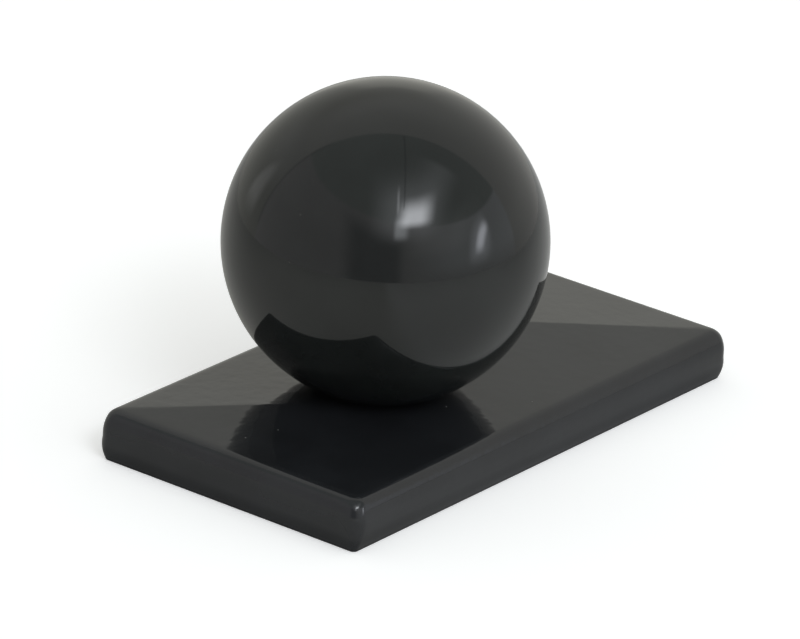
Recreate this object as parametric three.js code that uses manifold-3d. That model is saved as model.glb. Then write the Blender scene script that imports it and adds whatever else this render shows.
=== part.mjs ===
// Ball post cap: a pressed sheet-metal cap with a low hipped roof, and a ball fixed on its ridge.
// Millimetres, +Z up. The origin is the middle of the cap in plan, at the height of its rim.
// X runs along the cap, and the ball sits towards the -X end.

import * as THREE from 'three';
import { mergeVertices } from 'three/addons/utils/BufferGeometryUtils.js';
import Module from 'manifold-3d';

const wasm = await Module();
wasm.setup();

// Driving dimensions of the cap
const CAP_LENGTH = 95.5;
const CAP_WIDTH = 50.0;
const EAVES_HEIGHT = 8.2;       // where the skirt and the roof planes would meet without their round edge
const ROOF_SLOPE = THREE.MathUtils.degToRad(2.9);
const WALL = 1.2;
const EDGE_RADIUS = 2.1;        // tight round between skirt and roof, outside
const SHOULDER_RADIUS = 6.5;    // slow curve of the skirt below that round, outside
const SHOULDER_TURN = THREE.MathUtils.degToRad(22);
const CORNER_RADIUS = 2.3;      // upright corners in plan, outside
const HIP_RADIUS = 0.4;         // what is left of the corner's round in plan where the roof begins
const RIM_DRAW_IN = 0.85;       // how far the skirt draws in at the rim, to grip the post
const RIM_CORNER_RADIUS = 0.8;  // the same corners at the rim
const DRAW_IN_HEIGHT = 3.7;     // below this height the skirt draws in

// Driving dimensions of the ball, which is as wide as the cap
const BALL_SIDE_CLEARANCE = 0.0; // from the ball's side in to the skirt's, seen from above
const BALL_FROM_END = 36.45;    // middle of the ball from the cap's -X end
const BALL_SINK = 1.85;         // how far the ball's round goes below the ridge, where it is cut to fit
const SEAT_CLEARANCE = 0.3;     // between the ball's cut foot and the roof

// Facets
const CORNER_STEPS = 5;
const SHOULDER_STEPS = 3;
const EDGE_STEPS = 6;
const DRAW_IN_STEPS = 3;
const BALL_SIDES = 60;
const BALL_STEPS = 28;

const EDGE_TURN = Math.PI / 2 - ROOF_SLOPE;
const ridgeHeight = EAVES_HEIGHT + (CAP_WIDTH / 2) * Math.tan(ROOF_SLOPE);
const ridgeEnd = (CAP_LENGTH - CAP_WIDTH) / 2;
const ballRadius = CAP_WIDTH / 2 - BALL_SIDE_CLEARANCE;

// The outside where it has leaned in by turn from upright: how far in it is, and how far above the point
// where it starts to lean.
function edgePoint(turn) {
  const shoulder = Math.min(turn, SHOULDER_TURN);
  const inset = SHOULDER_RADIUS * (1 - Math.cos(shoulder))
    + EDGE_RADIUS * (Math.cos(shoulder) - Math.cos(turn));
  const rise = SHOULDER_RADIUS * Math.sin(shoulder)
    + EDGE_RADIUS * (Math.sin(turn) - Math.sin(shoulder));
  return { inset, rise };
}

const roofStart = edgePoint(EDGE_TURN);
const springHeight = EAVES_HEIGHT + roofStart.inset * Math.tan(ROOF_SLOPE) - roofStart.rise;

// A level ring round the cap, drawn in by inset from its outer plan, anticlockwise from the +X side.
function planRing(inset, cornerRadius, z) {
  const halfLength = CAP_LENGTH / 2 - inset;
  const halfWidth = CAP_WIDTH / 2 - inset;
  const ring = [];
  const quarters = [[1, 1], [-1, 1], [-1, -1], [1, -1]];
  quarters.forEach(([sx, sy], quarter) => {
    const cx = sx * (halfLength - cornerRadius);
    const cy = sy * (halfWidth - cornerRadius);
    for (let step = 0; step <= CORNER_STEPS; step += 1) {
      const angle = (quarter + step / CORNER_STEPS) * Math.PI / 2;
      ring.push([cx + cornerRadius * Math.cos(angle), cy + cornerRadius * Math.sin(angle), z]);
    }
  });
  return ring;
}

// The rings of one skin, from the rim up to the start of the roof. The skin lies depth inside the outside.
function skinRings(depth) {
  const rings = [];
  for (let step = 0; step < DRAW_IN_STEPS; step += 1) {
    const share = 1 - step / DRAW_IN_STEPS;
    const inset = depth + RIM_DRAW_IN * share * share;
    const radius = THREE.MathUtils.lerp(CORNER_RADIUS, RIM_CORNER_RADIUS, share);
    rings.push(planRing(inset, Math.max(radius - depth, HIP_RADIUS), DRAW_IN_HEIGHT * (1 - share)));
  }
  rings.push(planRing(depth, Math.max(CORNER_RADIUS - depth, HIP_RADIUS), DRAW_IN_HEIGHT));
  for (let step = 0; step <= SHOULDER_STEPS + EDGE_STEPS; step += 1) {
    const turn = step < SHOULDER_STEPS
      ? SHOULDER_TURN * step / SHOULDER_STEPS
      : THREE.MathUtils.lerp(SHOULDER_TURN, EDGE_TURN, (step - SHOULDER_STEPS) / EDGE_STEPS);
    const point = edgePoint(turn);
    const inset = point.inset + depth * Math.cos(turn);
    const z = springHeight + point.rise - depth * Math.sin(turn);
    rings.push(planRing(inset, Math.max(CORNER_RADIUS - inset, HIP_RADIUS), z));
  }
  return rings;
}

// Gathers faces from named rows of vertices into one indexed geometry.
class Faces {
  constructor() {
    this.positions = [];
    this.triangles = [];
  }

  add(points) {
    const first = this.positions.length / 3;
    points.forEach((point) => this.positions.push(...point));
    return points.map((_, index) => first + index);
  }

  triangle(a, b, c, outward) {
    this.triangles.push(...(outward ? [a, b, c] : [a, c, b]));
  }

  band(lower, upper, outward) {
    lower.forEach((_, i) => {
      const j = (i + 1) % lower.length;
      this.triangle(lower[i], lower[j], upper[j], outward);
      this.triangle(lower[i], upper[j], upper[i], outward);
    });
  }

  // Four roof planes from the top ring to the two ends of the ridge.
  hippedRoof(ring, depth, outward) {
    const z = ridgeHeight - depth / Math.cos(ROOF_SLOPE);
    const [east, west] = this.add([[ridgeEnd, 0, z], [-ridgeEnd, 0, z]]);
    const corner = CORNER_STEPS + 1;
    ring.forEach((_, i) => {
      const j = (i + 1) % ring.length;
      const quarter = Math.floor(i / corner);
      const end = quarter === 0 || quarter === 3 ? east : west;
      this.triangle(ring[i], ring[j], end, outward);
    });
    this.triangle(ring[corner], west, east, outward);
    this.triangle(ring[3 * corner], east, west, outward);
  }

  geometry() {
    const geometry = new THREE.BufferGeometry();
    geometry.setAttribute('position', new THREE.Float32BufferAttribute(this.positions, 3));
    geometry.setIndex(this.triangles);
    return geometry;
  }
}

// Adds one skin with its roof and returns the ring at the rim.
function addSkin(faces, depth, outward) {
  const rings = skinRings(depth).map((ring) => faces.add(ring));
  for (let i = 0; i + 1 < rings.length; i += 1) {
    faces.band(rings[i], rings[i + 1], outward);
  }
  faces.hippedRoof(rings[rings.length - 1], depth, outward);
  return rings[0];
}

// The thin-walled cap: an outer and an inner skin joined by the flat rim.
function capShell() {
  const faces = new Faces();
  const outerRim = addSkin(faces, 0, true);
  const innerRim = addSkin(faces, WALL, false);
  faces.band(innerRim, outerRim, true);
  return faces.geometry();
}

// The cap's outside as one solid block, which cuts the ball's foot.
function capBlock() {
  const faces = new Faces();
  const rim = addSkin(faces, 0, true);
  const [middle] = faces.add([[0, 0, 0]]);
  rim.forEach((_, i) => faces.triangle(rim[i], middle, rim[(i + 1) % rim.length], true));
  return faces.geometry();
}

function toManifold(geometry) {
  const plain = geometry.clone();
  plain.deleteAttribute('normal');
  plain.deleteAttribute('uv');
  const merged = mergeVertices(plain, 1e-5);
  return new wasm.Manifold(new wasm.Mesh({
    numProp: 3,
    vertProperties: new Float32Array(merged.attributes.position.array),
    triVerts: new Uint32Array(merged.index.array),
  }));
}

function toGeometry(solid) {
  const mesh = solid.getMesh();
  const geometry = new THREE.BufferGeometry();
  geometry.setAttribute('position', new THREE.Float32BufferAttribute(mesh.vertProperties, 3));
  geometry.setIndex(Array.from(mesh.triVerts));
  return geometry;
}

// The whole ball, turned about its upright axis through its middle.
function roundBall() {
  const profile = [];
  for (let step = 0; step <= BALL_STEPS; step += 1) {
    const angle = -Math.PI / 2 + Math.PI * step / BALL_STEPS;
    const onAxis = step === 0 || step === BALL_STEPS;
    const out = onAxis ? 0 : ballRadius * Math.cos(angle);
    profile.push(new THREE.Vector2(out, ballRadius * Math.sin(angle)));
  }
  return new THREE.LatheGeometry(profile, BALL_SIDES).rotateX(Math.PI / 2);
}

// The ball with its foot cut to the roof that it sits on, in the cap's own place.
function seatedBall() {
  const middle = new THREE.Vector3(
    BALL_FROM_END - CAP_LENGTH / 2,
    0,
    ridgeHeight - BALL_SINK + ballRadius,
  );
  const ball = toManifold(roundBall().translate(middle.x, middle.y, middle.z));
  const roof = toManifold(capBlock().translate(0, 0, SEAT_CLEARANCE));
  return toGeometry(ball.subtract(roof));
}

function named(name, geometry, material) {
  const mesh = new THREE.Mesh(geometry, material);
  mesh.name = name;
  return mesh;
}

const powderCoat = new THREE.MeshStandardMaterial({ color: 0x17181a, roughness: 0.16, metalness: 0.0 });

const postCap = new THREE.Group();
postCap.add(named('post_cap', capShell(), powderCoat));
postCap.add(named('ball', seatedBall(), powderCoat.clone()));

export default postCap;
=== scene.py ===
import math

import bpy
from mathutils import Matrix, Vector


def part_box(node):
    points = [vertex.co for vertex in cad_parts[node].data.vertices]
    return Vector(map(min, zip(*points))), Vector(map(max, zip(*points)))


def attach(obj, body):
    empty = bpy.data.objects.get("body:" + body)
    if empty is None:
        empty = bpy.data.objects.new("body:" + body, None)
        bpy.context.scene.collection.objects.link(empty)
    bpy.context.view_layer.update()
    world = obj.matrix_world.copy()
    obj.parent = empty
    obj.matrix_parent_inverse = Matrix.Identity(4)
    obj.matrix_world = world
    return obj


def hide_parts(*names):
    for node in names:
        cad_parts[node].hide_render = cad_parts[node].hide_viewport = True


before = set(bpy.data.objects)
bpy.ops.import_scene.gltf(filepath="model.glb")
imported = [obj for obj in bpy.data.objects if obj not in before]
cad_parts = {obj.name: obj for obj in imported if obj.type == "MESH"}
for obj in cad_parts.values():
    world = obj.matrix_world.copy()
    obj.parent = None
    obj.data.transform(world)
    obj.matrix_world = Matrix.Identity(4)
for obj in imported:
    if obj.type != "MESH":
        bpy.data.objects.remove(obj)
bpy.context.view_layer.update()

MM = 0.001

# The cap. Its length, width and height come from the frame.
cap_low, cap_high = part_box("post_cap")
CAP_LENGTH = cap_high.x - cap_low.x
CAP_WIDTH = cap_high.y - cap_low.y
RIDGE_HEIGHT = cap_high.z
ROOF_SLOPE = math.radians(2.9)
WALL = 1.2 * MM
EDGE_RADIUS = 2.1 * MM          # tight round between skirt and roof
SHOULDER_RADIUS = 6.5 * MM      # slow curve of the skirt below it
SHOULDER_TURN = math.radians(22)
CORNER_RADIUS = 2.3 * MM        # upright corners in plan
CORNER_TIGHTENING = 0.6         # how much of the inset the corner's round loses on its way to the roof
LARGEST_CORNER = 0.8            # of a ring's half width
RIM_DRAW_IN = 0.85 * MM         # how far the skirt draws in at the rim
RIM_CORNER_RADIUS = 0.8 * MM
RIM_ROUND = 0.25 * MM           # both edges of the rim
DRAW_IN_HEIGHT = 3.7 * MM       # below this height the skirt draws in
HIP_SOFT_REACH = 9.0 * MM       # how far in from the edge the corner's round fades into a crease
HIP_RADIUS = 0.35 * MM
RIDGE_FLAT = 0.25 * MM          # from the last ring to the ridge

# The ball. Its width and place come from the frame.
ball_low, ball_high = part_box("ball")
BALL_RADIUS = (ball_high.x - ball_low.x) / 2
BALL_MIDDLE = Vector(((ball_low.x + ball_high.x) / 2, 0.0, ball_high.z - BALL_RADIUS))
SEAT_OVERLAP = 0.04 * MM        # how deep the ball's foot lies in the roof

# Mesh fineness
CORNER_STEPS = 12
LONG_STEPS = 72
SHORT_STEPS = 38
SHOULDER_STEPS = 6
EDGE_STEPS = 14
SKIRT_STEPS = 8
RIM_STEPS = 5
ROOF_STEPS = 26
BALL_SIDES = 224
BALL_STEPS = 144
FLOOR_SIDES = 96
ROUNDING = 1e-6 * MM            # a vertex this near the middle lies in the middle

# The camera, from the photograph's view
CAMERA_AZIMUTH = math.radians(-53.71)
CAMERA_ELEVATION = math.radians(22.515)
CAMERA_ROLL = math.radians(3.643)
CAMERA_DISTANCE = 1038.6 * MM
CAMERA_LENS_MM = 302.4
CAMERA_SENSOR_MM = 36.0
CAMERA_NEAR = 10 * MM
CAMERA_FAR = 50.0
AIM_RIGHT = -2.79 * MM          # the aim in the camera's plane, from the middle of the cap's rim
AIM_UP = 15.13 * MM

EDGE_TURN = math.pi / 2 - ROOF_SLOPE
EAVES_HEIGHT = RIDGE_HEIGHT - CAP_WIDTH / 2 * math.tan(ROOF_SLOPE)


def edge_point(turn):
    """How far in and how far up the outside is where it has leaned in by turn from upright."""
    shoulder = min(turn, SHOULDER_TURN)
    inset = SHOULDER_RADIUS * (1 - math.cos(shoulder)) + EDGE_RADIUS * (math.cos(shoulder) - math.cos(turn))
    rise = SHOULDER_RADIUS * math.sin(shoulder) + EDGE_RADIUS * (math.sin(turn) - math.sin(shoulder))
    return inset, rise


ROOF_START, EDGE_RISE = edge_point(EDGE_TURN)
SPRING_HEIGHT = EAVES_HEIGHT + ROOF_START * math.tan(ROOF_SLOPE) - EDGE_RISE


def lerp(a, b, share):
    return a + (b - a) * share


def smooth(share):
    share = min(max(share, 0.0), 1.0)
    return share * share * (3 - 2 * share)


# Camera

def camera_axes():
    """Right, up and backward axes of the camera, with its roll."""
    az, el = CAMERA_AZIMUTH, CAMERA_ELEVATION
    back = Vector((math.sin(az) * math.cos(el), -math.cos(az) * math.cos(el), math.sin(el)))
    sideways = Vector((math.cos(az), math.sin(az), 0.0))
    upright = back.cross(sideways)
    right = math.cos(CAMERA_ROLL) * sideways + math.sin(CAMERA_ROLL) * upright
    up = -math.sin(CAMERA_ROLL) * sideways + math.cos(CAMERA_ROLL) * upright
    return right, up, back


def make_camera():
    right, up, back = camera_axes()
    data = bpy.data.cameras.new("Camera")
    data.lens = CAMERA_LENS_MM
    data.sensor_width = CAMERA_SENSOR_MM
    data.clip_start = CAMERA_NEAR
    data.clip_end = CAMERA_FAR
    camera = bpy.data.objects.new("Camera", data)
    bpy.context.scene.collection.objects.link(camera)
    aim = AIM_RIGHT * right + AIM_UP * up
    turn = Matrix((right, up, back)).transposed().to_4x4()
    camera.matrix_world = Matrix.Translation(aim + CAMERA_DISTANCE * back) @ turn
    bpy.context.scene.camera = camera


# Meshes

def plan_ring(inset, radius, z):
    """A level ring round the cap, drawn in by inset, anticlockwise from its +X side."""
    half_length = CAP_LENGTH / 2 - inset
    half_width = CAP_WIDTH / 2 - inset
    radius = min(radius, LARGEST_CORNER * half_width)
    signs = ((1, 1), (-1, 1), (-1, -1), (1, -1))

    def corner_point(quarter, step):
        sx, sy = signs[quarter % 4]
        angle = (quarter + step / CORNER_STEPS) * math.pi / 2
        return Vector((
            sx * (half_length - radius) + radius * math.cos(angle),
            sy * (half_width - radius) + radius * math.sin(angle),
            z,
        ))

    ring = []
    for quarter, divisions in enumerate((LONG_STEPS, SHORT_STEPS, LONG_STEPS, SHORT_STEPS)):
        ring += [corner_point(quarter, step) for step in range(CORNER_STEPS + 1)]
        start = ring[-1]
        end = corner_point(quarter + 1, 0)
        ring += [start.lerp(end, step / divisions) for step in range(1, divisions)]
    return ring


def skirt_profile(depth):
    """Inset, corner radius and height of each ring of one skin, from the rim to the roof's edge.

    The skin lies depth inside the outside.
    """
    rows = []
    rim_side = 1 if depth == 0 else -1
    for step in range(RIM_STEPS):
        angle = math.pi / 2 * step / RIM_STEPS
        away = RIM_ROUND * (1 - math.sin(angle))
        height = RIM_ROUND * (1 - math.cos(angle))
        rows.append((depth + RIM_DRAW_IN + rim_side * away, 0.0, height))
    for step in range(SKIRT_STEPS):
        share = 1 - step / SKIRT_STEPS
        height = RIM_ROUND + (DRAW_IN_HEIGHT - RIM_ROUND) * (1 - share)
        rows.append((depth + RIM_DRAW_IN * share * share, 1 - share, height))
    rows.append((depth, 1.0, DRAW_IN_HEIGHT))
    rows = [
        (inset, max(lerp(RIM_CORNER_RADIUS, CORNER_RADIUS, share) - depth, HIP_RADIUS), z)
        for inset, share, z in rows
    ]
    turns = [SHOULDER_TURN * step / SHOULDER_STEPS for step in range(SHOULDER_STEPS)]
    turns += [lerp(SHOULDER_TURN, EDGE_TURN, step / EDGE_STEPS) for step in range(EDGE_STEPS + 1)]
    for turn in turns:
        inset, rise = edge_point(turn)
        inset += depth * math.cos(turn)
        corner = CORNER_RADIUS - CORNER_TIGHTENING * (inset - depth) - depth
        rows.append((inset, max(corner, HIP_RADIUS), SPRING_HEIGHT + rise - depth * math.sin(turn)))
    return rows


def roof_profile(depth):
    """The same for the roof, from its edge to the ridge. The corners' round fades into the hips."""
    start = ROOF_START + depth * math.cos(EDGE_TURN)
    end = CAP_WIDTH / 2 - RIDGE_FLAT
    fall = depth / math.cos(ROOF_SLOPE)
    corner = max(CORNER_RADIUS - CORNER_TIGHTENING * (start - depth) - depth, HIP_RADIUS)
    rows = []
    for step in range(1, ROOF_STEPS + 1):
        inset = lerp(start, end, step / ROOF_STEPS)
        fade = smooth((inset - start) / HIP_SOFT_REACH)
        z = EAVES_HEIGHT + inset * math.tan(ROOF_SLOPE) - fall
        rows.append((inset, lerp(corner, HIP_RADIUS, fade), z))
    return rows


def add_skin(vertices, faces, depth, outward):
    """Adds one skin. Returns the first vertex of its ring at the rim, and how many a ring has."""
    first = len(vertices)
    rings = [plan_ring(*row) for row in skirt_profile(depth) + roof_profile(depth)]
    count = len(rings[0])
    for ring in rings:
        vertices.extend(ring)
    for row in range(len(rings) - 1):
        lower = first + row * count
        upper = lower + count
        for i in range(count):
            j = (i + 1) % count
            quad = (lower + i, lower + j, upper + j, upper + i)
            faces.append(quad if outward else quad[::-1])
    close_ridge(vertices, faces, count, depth, outward)
    return first, count


def close_ridge(vertices, faces, count, depth, outward):
    """Closes the last ring, of count vertices, with a fan to each end of the ridge."""
    top = len(vertices) - count
    ridge_end = (CAP_LENGTH - CAP_WIDTH) / 2
    ridge_height = RIDGE_HEIGHT - depth / math.cos(ROOF_SLOPE)
    east, west = len(vertices), len(vertices) + 1
    ends = [east if vertex.x > -ROUNDING else west for vertex in vertices[top:]]
    vertices.extend((Vector((ridge_end, 0.0, ridge_height)), Vector((-ridge_end, 0.0, ridge_height))))
    for i in range(count):
        j = (i + 1) % count
        if ends[i] == ends[j]:
            fan = [(top + i, top + j, ends[i])]
        elif ends[i] == east:
            fan = [(top + i, top + j, west), (top + i, west, east)]
        else:
            fan = [(top + i, top + j, west), (top + j, east, west)]
        for triangle in fan:
            faces.append(triangle if outward else triangle[::-1])


def mesh_object(name, vertices, faces):
    mesh = bpy.data.meshes.new(name)
    mesh.from_pydata([tuple(v) for v in vertices], [], faces)
    mesh.validate()
    mesh.update()
    for polygon in mesh.polygons:
        polygon.use_smooth = True
    piece = bpy.data.objects.new(name, mesh)
    bpy.context.scene.collection.objects.link(piece)
    return piece


def make_cap():
    """The thin-walled cap: an outer and an inner skin joined at the rim."""
    vertices, faces = [], []
    outer, count = add_skin(vertices, faces, 0.0, True)
    inner, _ = add_skin(vertices, faces, WALL, False)
    for i in range(count):
        j = (i + 1) % count
        faces.append((inner + i, inner + j, outer + j, outer + i))
    return mesh_object("pressed_cap", vertices, faces)


def roof_height(x, y):
    """Height of the roof's outside over a point well inside its edge."""
    from_side = CAP_WIDTH / 2 - abs(y)
    from_end = CAP_LENGTH / 2 - abs(x)
    return EAVES_HEIGHT + min(from_side, from_end) * math.tan(ROOF_SLOPE)


def make_ball():
    """A ball whose foot lies on the roof."""
    vertices, faces = [], []
    for row in range(1, BALL_STEPS):
        polar = math.pi * row / BALL_STEPS
        out = BALL_RADIUS * math.sin(polar)
        for side in range(BALL_SIDES):
            angle = 2 * math.pi * side / BALL_SIDES
            point = BALL_MIDDLE + Vector((
                out * math.cos(angle),
                out * math.sin(angle),
                -BALL_RADIUS * math.cos(polar),
            ))
            point.z = max(point.z, roof_height(point.x, point.y) - SEAT_OVERLAP)
            vertices.append(point)
    for row in range(BALL_STEPS - 2):
        lower = row * BALL_SIDES
        upper = lower + BALL_SIDES
        for side in range(BALL_SIDES):
            ahead = (side + 1) % BALL_SIDES
            faces.append((lower + side, lower + ahead, upper + ahead, upper + side))
    foot, crown = len(vertices), len(vertices) + 1
    seat = roof_height(BALL_MIDDLE.x, BALL_MIDDLE.y) - SEAT_OVERLAP
    vertices.append(Vector((BALL_MIDDLE.x, BALL_MIDDLE.y, seat)))
    vertices.append(BALL_MIDDLE + Vector((0.0, 0.0, BALL_RADIUS)))
    last = (BALL_STEPS - 2) * BALL_SIDES
    for side in range(BALL_SIDES):
        ahead = (side + 1) % BALL_SIDES
        faces.append((foot, ahead, side))
        faces.append((crown, last + side, last + ahead))
    return mesh_object("hollow_ball", vertices, faces)


# Node trees

class Nodes:
    """Short calls for building a node tree."""

    def __init__(self, tree):
        self.tree = tree
        self.tree.nodes.clear()

    def node(self, kind, **values):
        made = self.tree.nodes.new(kind)
        for key, value in values.items():
            setattr(made, key, value)
        return made

    def link(self, start, end):
        self.tree.links.new(start, end)

    def fill(self, socket, value):
        """Sets a socket to a number, vector or colour, or links it."""
        if isinstance(value, bpy.types.NodeSocket):
            self.link(value, socket)
        elif isinstance(value, tuple) and len(socket.default_value) == 4:
            socket.default_value = (*value, 1.0)
        else:
            socket.default_value = value

    def noise(self, where, scale, detail):
        made = self.node("ShaderNodeTexNoise")
        made.inputs["Scale"].default_value = scale
        made.inputs["Detail"].default_value = detail
        self.link(where, made.inputs["Vector"])
        return made.outputs["Fac"]

    def span(self, value, low, high, to_low=0.0, to_high=1.0):
        """Takes low...high smoothly to to_low...to_high, and holds the ends."""
        made = self.node("ShaderNodeMapRange", interpolation_type="SMOOTHSTEP")
        made.inputs["From Min"].default_value = low
        made.inputs["From Max"].default_value = high
        made.inputs["To Min"].default_value = to_low
        made.inputs["To Max"].default_value = to_high
        self.link(value, made.inputs["Value"])
        return made.outputs["Result"]

    def fade(self, value, low, high):
        """1 up to low, and from there smoothly down to 0 at high."""
        return self.span(value, low, high, 1.0, 0.0)

    def math(self, operation, a, b):
        made = self.node("ShaderNodeMath", operation=operation)
        self.fill(made.inputs[0], a)
        self.fill(made.inputs[1], b)
        return made.outputs["Value"]

    def vector(self, operation, a, b, output="Vector"):
        made = self.node("ShaderNodeVectorMath", operation=operation)
        self.fill(made.inputs[0], a)
        self.fill(made.inputs[1], b)
        return made.outputs[output]

    def times(self, first, *others):
        for other in others:
            first = self.math("MULTIPLY", first, other)
        return first

    def band(self, value, low, high, soft_low, soft_high):
        """1 between low and high, with its own softness at each end."""
        rise = self.span(value, low - soft_low, low + soft_low)
        return self.times(rise, self.fade(value, high - soft_high, high + soft_high))

    def mix(self, share, a, b, blend="MIX"):
        made = self.node("ShaderNodeMix", data_type="RGBA", blend_type=blend)
        self.fill(made.inputs["Factor"], share)
        self.fill(made.inputs[6], a)
        self.fill(made.inputs[7], b)
        return made.outputs[2]

    def specks(self, where, places):
        """1 on a small spot at each place, told in millimetres with the spot's radius last."""
        total = 0.0
        for x, y, z, radius in places:
            apart = self.vector("DISTANCE", where, (x * MM, y * MM, z * MM), "Value")
            spot = self.fade(apart, SPECK_CORE * radius * MM, radius * MM)
            total = self.math("ADD", total, spot)
        return total


def new_material(name):
    material = bpy.data.materials.new(name)
    material.use_nodes = True
    return material, Nodes(material.node_tree)


# Powder coat

CAP_COAT = (0.0138, 0.0149, 0.0168)
CAP_PEEL_HEIGHT = 0.020 * MM
CAP_PEEL_SIZE = 1.9 * MM
BALL_COAT = (0.0098, 0.0113, 0.0108)
BALL_PEEL_HEIGHT = 0.003 * MM
BALL_PEEL_SIZE = 2.4 * MM
COAT_IOR = 1.5
MOTTLE = 0.13                   # share by which the mottling makes the coat darker and lighter
MOTTLES_PER_METRE = 90.0
ROUGHNESS = (0.045, 0.075)      # where the coat is glossiest and where it is dullest
DULL_SPOTS_PER_METRE = 160.0
DUST = (0.20, 0.20, 0.19)
DUST_ROUGHNESS = 0.4            # on top of the coat's
DUST_HEIGHT = 0.02 * MM
SPECK_CORE = 0.6                # of a speck's radius, inside which it is whole

# Specks of dust that the coat caught: x, y, z and radius, in millimetres
DUST_ON_BALL = (
    (-33.8, -0.7, 43.4, 0.10),
    (-24.4, 16.4, 46.1, 0.09),
    (-31.0, -0.6, 47.9, 0.08),
    (-27.6, 9.3, 49.2, 0.08),
    (-36.0, -0.8, 36.4, 0.08),
)
DUST_ON_CAP = (
    (-35.4, 0.0, 8.8, 0.12),
    (-40.7, 2.0, 8.6, 0.12),
    (-10.2, -12.6, 8.8, 0.13),
    (1.5, -20.2, 8.4, 0.12),
)


def powder_coat(name, colour, peel_height, peel_size, dust):
    """Gloss anthracite powder coat: orange peel, faint mottling and a few specks of dust."""
    material, s = new_material(name)
    where = s.node("ShaderNodeTexCoord").outputs["Object"]
    nib = s.specks(where, dust)

    mottle = s.span(s.noise(where, MOTTLES_PER_METRE, 3.0), 0.35, 0.65)
    darker = tuple((1 - MOTTLE) * part for part in colour)
    lighter = tuple((1 + MOTTLE) * part for part in colour)
    colour = s.mix(nib, s.mix(mottle, darker, lighter), DUST)

    rough = s.span(s.noise(where, DULL_SPOTS_PER_METRE, 4.0), 0.3, 0.7, *ROUGHNESS)
    rough = s.math("ADD", rough, s.math("MULTIPLY", nib, DUST_ROUGHNESS))

    peel = s.math("MULTIPLY", s.noise(where, 1 / peel_size, 1.0), peel_height)
    bump = s.node("ShaderNodeBump")
    bump.inputs["Strength"].default_value = 1.0
    bump.inputs["Distance"].default_value = 1.0
    s.link(s.math("ADD", peel, s.math("MULTIPLY", nib, DUST_HEIGHT)), bump.inputs["Height"])

    shader = s.node("ShaderNodeBsdfPrincipled")
    shader.inputs["IOR"].default_value = COAT_IOR
    shader.inputs["Metallic"].default_value = 0.0
    s.link(colour, shader.inputs["Base Color"])
    s.link(rough, shader.inputs["Roughness"])
    s.link(bump.outputs["Normal"], shader.inputs["Normal"])
    out = s.node("ShaderNodeOutputMaterial")
    s.link(shader.outputs["BSDF"], out.inputs["Surface"])
    return material


# Floor

FLOOR_RADIUS = 0.32
FLOOR_SEEN = (0.90, 0.90, 0.90)
FLOOR_LIFT = 0.36                           # added where the camera looks at the floor directly

# What the gloss mirrors of the floor, with painted light and shade: lighter to the right where the window
# lights it, darker behind the object, towards the floor's edge and beside the rim. The distances are from
# the middle of the cap.
# Painted light: the mirrored floor is darker to the left and lighter to the right, where the window lights
# it
FLOOR_MIRRORED_LEFT = (0.74, 0.725, 0.695)
FLOOR_MIRRORED_RIGHT = (0.94, 0.93, 0.92)
LEFT_TO_RIGHT = (-8 * MM, 14 * MM)          # across, where the one turns into the other
FLOOR_MIRRORED_BEHIND = 0.77                # share of that behind the object, painted shade
BEHIND_TO_BEFORE = (-40 * MM, 100 * MM)     # towards the camera
FLOOR_MIRRORED_FAR = 0.87                   # at the floor's edge, painted shade
NEAR_TO_FAR = (100 * MM, 300 * MM)
FLOOR_CONTACT_SHADE = 0.63                        # and beside the object's rim, painted contact shade
CONTACT_REACH = 4.0 * MM                    # how far from the rim that shade reaches
CONTACT_UNDER = -0.4 * MM                   # and where it starts


def level(told):
    """A room direction told as across to the camera's right, towards the camera and up."""
    az = CAMERA_AZIMUTH
    x, y, z = told
    return (x * math.cos(az) + y * math.sin(az), x * math.sin(az) - y * math.cos(az), z)


def mirrored_floor(s):
    """Colour of the floor in the gloss, with painted light and shade: lighter to the right, darker behind
    the object, towards the floor's edge and beside the cap's rim.
    """
    where = s.node("ShaderNodeTexCoord").outputs["Object"]
    across = s.vector("DOT_PRODUCT", where, level((1, 0, 0)), "Value")
    toward = s.vector("DOT_PRODUCT", where, level((0, 1, 0)), "Value")
    away = s.vector("LENGTH", where, (0, 0, 0), "Value")
    plan = s.vector("ABSOLUTE", where, (0, 0, 0))
    beside = s.vector("SUBTRACT", plan, (CAP_LENGTH / 2, CAP_WIDTH / 2, 0))
    beside = s.vector("MAXIMUM", beside, (0, 0, 0))
    from_cap = s.vector("LENGTH", beside, (0, 0, 0), "Value")
    # painted shade: darker behind the object, towards the floor's edge and beside the cap's rim
    share = s.times(
        s.span(toward, *BEHIND_TO_BEFORE, FLOOR_MIRRORED_BEHIND, 1.0),
        s.span(away, *NEAR_TO_FAR, 1.0, FLOOR_MIRRORED_FAR),
        # painted contact shade on the mirrored floor beside the rim
        s.span(from_cap, CONTACT_UNDER, CONTACT_REACH, FLOOR_CONTACT_SHADE, 1.0),
    )
    colour = s.mix(s.span(across, *LEFT_TO_RIGHT), FLOOR_MIRRORED_LEFT, FLOOR_MIRRORED_RIGHT)
    return s.mix(share, (0.0, 0.0, 0.0), colour)


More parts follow.
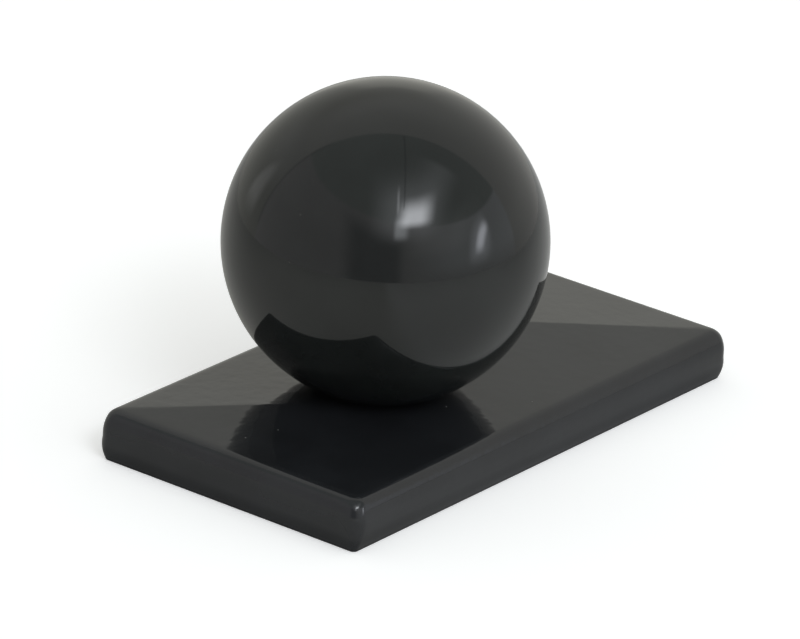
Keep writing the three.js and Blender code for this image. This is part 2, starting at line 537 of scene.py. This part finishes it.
def make_floor():
    turn = 2 * math.pi / FLOOR_SIDES
    edge = [
        FLOOR_RADIUS * Vector((math.cos(side * turn), math.sin(side * turn), 0.0))
        for side in range(FLOOR_SIDES)
    ]
    floor = mesh_object("floor", edge, [tuple(range(FLOOR_SIDES))])
    material, s = new_material("pale_floor")
    path = s.node("ShaderNodeLightPath")
    diffuse = s.node("ShaderNodeBsdfDiffuse")
    # the gloss sees the floor with painted light and shade, the camera sees it plain
    colour = s.mix(path.outputs["Is Glossy Ray"], FLOOR_SEEN, mirrored_floor(s))
    s.link(colour, diffuse.inputs["Color"])
    glow = s.node("ShaderNodeEmission")
    s.link(s.math("MULTIPLY", path.outputs["Is Camera Ray"], FLOOR_LIFT), glow.inputs["Strength"])
    both = s.node("ShaderNodeAddShader")
    s.link(diffuse.outputs["BSDF"], both.inputs[0])
    s.link(glow.outputs["Emission"], both.inputs[1])
    out = s.node("ShaderNodeOutputMaterial")
    s.link(both.outputs["Shader"], out.inputs["Surface"])
    floor.data.materials.append(material)


# Surroundings, which show in the gloss. The colours are radiances.

ROOM_WALL = (0.51, 0.50, 0.50)
ROOM_WALL_HIGH = (0.56, 0.55, 0.55)
ROOM_WALL_LIT = (0.79, 0.81, 0.83)
ROOM_UNLIT = (0.16, 0.16, 0.17)
CEILING = (0.46, 0.49, 0.47)
CEILING_SLANT = 0.16                    # how much its edge falls to the right
UNLIT_SLANT = 0.35                      # the same for the top of the unlit patch of wall
BACKDROP_LEFT = (0.465, 0.465, 0.43)
BACKDROP_LEFT_HIGH = (0.58, 0.58, 0.555)
BACKDROP_RIGHT = (0.70, 0.695, 0.665)
BACKDROP_RIGHT_LOW = (0.585, 0.58, 0.56)
BACKDROP_POOL = (0.69, 0.685, 0.63)     # low behind the object, which the roof mirrors
BACKDROP_HIGH = (0.69, 0.69, 0.66)
LEFT_GLIMMER = (0.80, 0.80, 0.77)       # a bright upright strip of the backdrop, far to the left

# Lights: colour, then low, high and the softness of each end, across and in height
WINDOW_LIGHTS = (
    ((0.90, 0.93, 0.98), (-0.05, 0.56, 0.22, 0.16), (0.45, 0.86, 0.16, 0.14)),      # halo
    ((0.20, 0.20, 0.20), (0.32, 0.85, 0.12, 0.10), (0.22, 0.52, 0.12, 0.12)),       # on the wall below
    ((7.5, 7.7, 8.1), (0.18, 0.47, 0.09, 0.09), (0.535, 0.715, 0.05, 0.09)),        # window
    ((1.9, 2.0, 2.1), (0.105, 0.25, 0.03, 0.05), (0.40, 0.60, 0.05, 0.05)),         # low on its left
)
NARROW_LIGHTS = (
    ((0.75, 0.78, 0.85), (0.885, 0.975, 0.03, 0.02), (0.02, 0.38, 0.10, 0.10)),     # halo
    ((3.2, 3.3, 3.6), (0.918, 0.952, 0.014, 0.012), (0.11, 0.32, 0.07, 0.07)),      # light
)
WINDOW_EDGE = (1.7, 1.75, 1.85)         # a thin bright line high on the window's left

# A thin upright seam beside it, as the normal of the plane through it: across, toward, up
WINDOW_SEAM = (0.987, -0.124, -0.100)


class Directions:
    """How far a direction points across to the camera's right, towards the camera and up.

    All three are level with the room.
    """

    def __init__(self, s):
        self.s = s
        self.where = s.node("ShaderNodeTexCoord").outputs["Generated"]
        self.across = self.along((1, 0, 0))
        self.toward = self.along((0, 1, 0))
        self.height = self.along((0, 0, 1))

    def along(self, told):
        return self.s.vector("DOT_PRODUCT", self.where, level(told), "Value")


def room_light(s, d):
    """The room in front: a wall that is lit to the right, a ceiling and an unlit patch of the wall."""
    lit = s.times(s.span(d.across, 0.25, 0.85), s.span(d.height, -0.2, 0.1))
    light = s.mix(lit, ROOM_WALL, ROOM_WALL_LIT)
    high_left = s.times(s.span(d.height, 0.25, 0.5), s.fade(d.across, -0.2, 0.1))
    light = s.mix(high_left, light, ROOM_WALL_HIGH)
    ceiling_line = s.math("ADD", d.height, s.times(d.across, CEILING_SLANT))
    light = s.mix(s.span(ceiling_line, 0.565, 0.595), light, CEILING)
    unlit_line = s.math("ADD", d.height, s.times(d.across, UNLIT_SLANT))
    unlit = s.times(
        s.band(d.across, -0.44, 0.20, 0.13, 0.08),
        s.span(d.height, -0.30, -0.10),
        s.fade(unlit_line, 0.30, 0.54),
    )
    return s.mix(s.times(unlit, 0.75), light, ROOM_UNLIT)


def backdrop_light(s, d):
    """The backdrop behind the object, which gets lighter to the right and higher up."""
    light = s.mix(s.span(d.across, -0.35, 0.9), BACKDROP_LEFT, BACKDROP_RIGHT)
    low_right = s.times(s.fade(d.height, -0.12, 0.2), s.span(d.across, 0.4, 0.8))
    light = s.mix(low_right, light, BACKDROP_RIGHT_LOW)
    high_left = s.times(s.span(d.height, 0.15, 0.5), s.fade(d.across, -0.7, -0.3))
    light = s.mix(high_left, light, BACKDROP_LEFT_HIGH)
    pool = s.times(s.band(d.across, -0.15, 0.15, 0.06, 0.06), s.fade(d.height, 0.31, 0.43))
    light = s.mix(pool, light, BACKDROP_POOL)
    light = s.mix(s.span(d.height, 0.5, 0.78), light, BACKDROP_HIGH)
    glimmer = s.times(
        s.band(d.across, -0.96, -0.81, 0.03, 0.03),
        s.band(d.height, 0.02, 0.38, 0.10, 0.10),
        s.fade(d.toward, -0.44, -0.32),
    )
    return s.mix(glimmer, light, LEFT_GLIMMER)


def add_lights(s, d, light, front, lights):
    """Adds each light where its two bands cross, on the side that front marks."""
    for colour, across, height in lights:
        share = s.times(front, s.band(d.across, *across), s.band(d.height, *height))
        light = s.mix(share, light, colour, "ADD")
    return light


def add_window_edge(s, d, light, front):
    """Adds the window's thin bright line and the dark seam beside it."""
    slant = d.along(WINDOW_SEAM)
    edge = s.times(
        front,
        s.band(slant, -0.045, -0.022, 0.008, 0.006),
        s.band(d.height, 0.66, 0.84, 0.05, 0.05),
    )
    light = s.mix(edge, light, WINDOW_EDGE, "ADD")
    seam = s.times(
        s.band(slant, 0.028, 0.044, 0.006, 0.006),
        s.span(d.height, 0.66, 0.72),
        s.span(d.toward, -0.21, -0.19),
        0.5,
    )
    return s.mix(seam, light, ROOM_UNLIT)


def make_world():
    """A backdrop behind the object, and in front a room with a window and a narrow light."""
    world = bpy.data.worlds.new("studio")
    bpy.context.scene.world = world
    world.use_nodes = True
    s = Nodes(world.node_tree)
    d = Directions(s)
    light = s.mix(s.fade(d.toward, -0.22, -0.20), room_light(s, d), backdrop_light(s, d))
    backdrop_edge = s.times(
        s.band(d.toward, -0.225, -0.195, 0.01, 0.01),
        s.fade(d.across, -0.6, -0.45),
        s.span(d.height, -0.05, 0.05),
        0.35,
    )
    light = s.mix(backdrop_edge, light, ROOM_UNLIT)
    front = s.span(d.toward, 0.0, 0.1)
    light = add_lights(s, d, light, front, WINDOW_LIGHTS)
    light = add_window_edge(s, d, light, front)
    light = add_lights(s, d, light, s.span(d.toward, 0.1, 0.2), NARROW_LIGHTS)
    seen = s.node("ShaderNodeLightPath").outputs["Is Camera Ray"]
    light = s.mix(seen, light, (1.0, 1.0, 1.0))
    background = s.node("ShaderNodeBackground")
    s.link(light, background.inputs["Color"])
    out = s.node("ShaderNodeOutputWorld")
    s.link(background.outputs["Background"], out.inputs["Surface"])


def make_object():
    cap = make_cap()
    coat = powder_coat("cap_coat", CAP_COAT, CAP_PEEL_HEIGHT, CAP_PEEL_SIZE, DUST_ON_CAP)
    cap.data.materials.append(coat)
    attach(cap, "root")
    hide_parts("post_cap")
    ball = make_ball()
    coat = powder_coat("ball_coat", BALL_COAT, BALL_PEEL_HEIGHT, BALL_PEEL_SIZE, DUST_ON_BALL)
    ball.data.materials.append(coat)
    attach(ball, "root")
    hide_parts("ball")


bpy.context.scene.view_settings.view_transform = "Standard"
make_camera()
make_object()
make_floor()
make_world()
